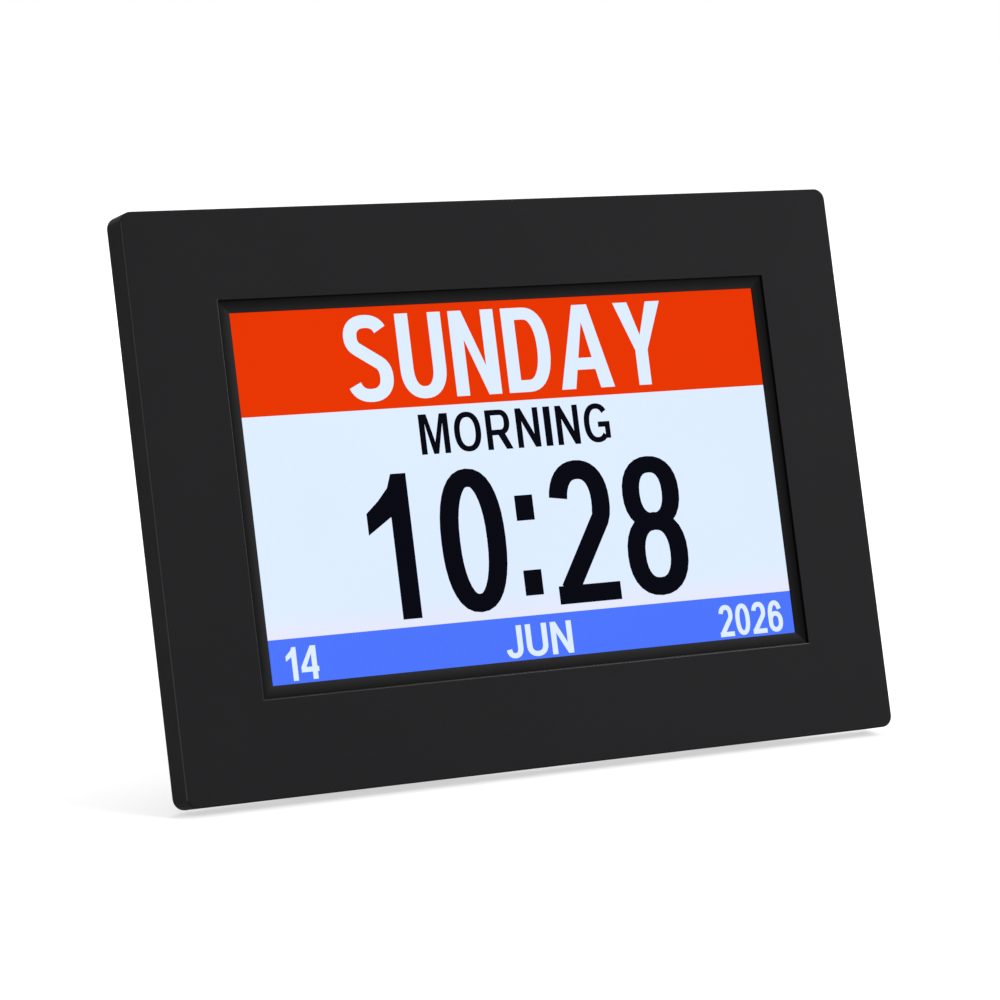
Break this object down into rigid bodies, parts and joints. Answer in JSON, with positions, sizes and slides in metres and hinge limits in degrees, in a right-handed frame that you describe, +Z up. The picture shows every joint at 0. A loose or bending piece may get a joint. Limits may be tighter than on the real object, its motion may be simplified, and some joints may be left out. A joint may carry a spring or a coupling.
{
  "type": "day clock",
  "caption": "Lit calendar day clock in a flat black case that leans back on a fold-out leg, with a recessed picture, rear keys, speaker and keyholes.",
  "frame": {"origin": "middle of the footprint's box on the table top, under the clock", "axes": "+X to the right seen from the front, +Y to the back, +Z up; the picture faces -Y and leans back"},
  "size_m": [0.2056, 0.0686, 0.1425],
  "materials": {
    "case_black": "fine spark-textured black ABS",
    "key_black": "satin black plastic",
    "screw_steel": "black zinc-plated steel",
    "rubber": "matt black rubber",
    "foam": "black closed-cell foam tape",
    "screen_face": "anti-glare polarizer",
    "screen_glass": "thin panel glass",
    "screen_film": "polarizer film",
    "diffuser": "diffuser and prism films",
    "clear_acrylic": "clear acrylic light guide",
    "white_film": "white film",
    "led": "phosphor-coated chips",
    "white_plastic": "white polycarbonate",
    "tray_steel": "tinned sheet steel",
    "flex": "amber polyimide",
    "circuit_board": "green solder mask",
    "chip_black": "moulded epoxy",
    "can_metal": "drawn metal can",
    "ceramic_parts": "small ceramic parts",
    "socket_plastic": "cream nylon",
    "socket_black": "black nylon",
    "brass": "plated brass",
    "magnet": "nickel-plated magnet",
    "cone_paper": "black paper cone",
    "lead_red": "PVC insulation",
    "ribbon_grey": "grey ribbon cable",
    "pin_steel": "ground steel pin"
  },
  "bodies": {
    "case": {"front_bezel": "case_black", "rear_cover": "case_black", "cover_screws": "screw_steel", "rubber_feet": "rubber", "window_gasket": "foam", "front_polarizer": "screen_face", "front_glass": "screen_glass", "rear_glass": "screen_glass", "rear_polarizer": "screen_film", "film_stack": "diffuser", "light_guide": "clear_acrylic", "reflector_sheet": "white_film", "led_board": "white_film", "led_chips": "led", "backlight_frame": "white_plastic", "steel_tray": "tray_steel", "screen_clips": "tray_steel", "clip_screws": "screw_steel", "screen_flex": "flex", "backlight_lead": "flex", "main_board": "circuit_board", "processor": "chip_black", "memory_chip": "chip_black", "regulator": "chip_black", "clock_crystal": "can_metal", "capacitors": "can_metal", "power_coil": "chip_black", "chip_parts": "ceramic_parts", "board_sockets": "socket_plastic", "board_screws": "screw_steel", "power_socket": "socket_black", "socket_pin": "brass", "cell_holder": "socket_black", "coin_cell": "can_metal", "speaker_frame": "tray_steel", "speaker_magnet": "magnet", "speaker_cone": "cone_paper", "speaker_leads": "lead_red", "key_board": "circuit_board", "key_switches": "can_metal", "key_socket": "socket_plastic", "key_ribbon": "ribbon_grey", "hinge_pin": "pin_steel"},
    "leg": {"stand_leg": "case_black", "foot_bar": "rubber"},
    "menu_button": {"key_menu": "key_black", "plunger_menu": "chip_black"},
    "up_button": {"key_up": "key_black", "plunger_up": "chip_black"},
    "down_button": {"key_down": "key_black", "plunger_down": "chip_black"},
    "left_button": {"key_left": "key_black", "plunger_left": "chip_black"},
    "right_button": {"key_right": "key_black", "plunger_right": "chip_black"},
    "power_button": {"key_power": "key_black", "plunger_power": "chip_black"}
  },
  "joints": [
    {"name": "leg_hinge", "type": "hinge", "parent": "case", "child": "leg", "pos_m": [0, 0.0081, 0.10406], "axis": [1, 0, 0], "range_deg": [-27, 0]},
    {"name": "menu_press", "type": "slide", "parent": "case", "child": "menu_button", "axis": [0, -0.9697, 0.2443], "range_m": [0, 0.0006], "stiffness_N_per_m": 400},
    {"name": "up_press", "type": "slide", "parent": "case", "child": "up_button", "axis": [0, -0.9697, 0.2443], "range_m": [0, 0.0006], "stiffness_N_per_m": 400},
    {"name": "down_press", "type": "slide", "parent": "case", "child": "down_button", "axis": [0, -0.9697, 0.2443], "range_m": [0, 0.0006], "stiffness_N_per_m": 400},
    {"name": "left_press", "type": "slide", "parent": "case", "child": "left_button", "axis": [0, -0.9697, 0.2443], "range_m": [0, 0.0006], "stiffness_N_per_m": 400},
    {"name": "right_press", "type": "slide", "parent": "case", "child": "right_button", "axis": [0, -0.9697, 0.2443], "range_m": [0, 0.0006], "stiffness_N_per_m": 400},
    {"name": "power_press", "type": "slide", "parent": "case", "child": "power_button", "axis": [0, -0.9697, 0.2443], "range_m": [0, 0.0006], "stiffness_N_per_m": 400}
  ]
}
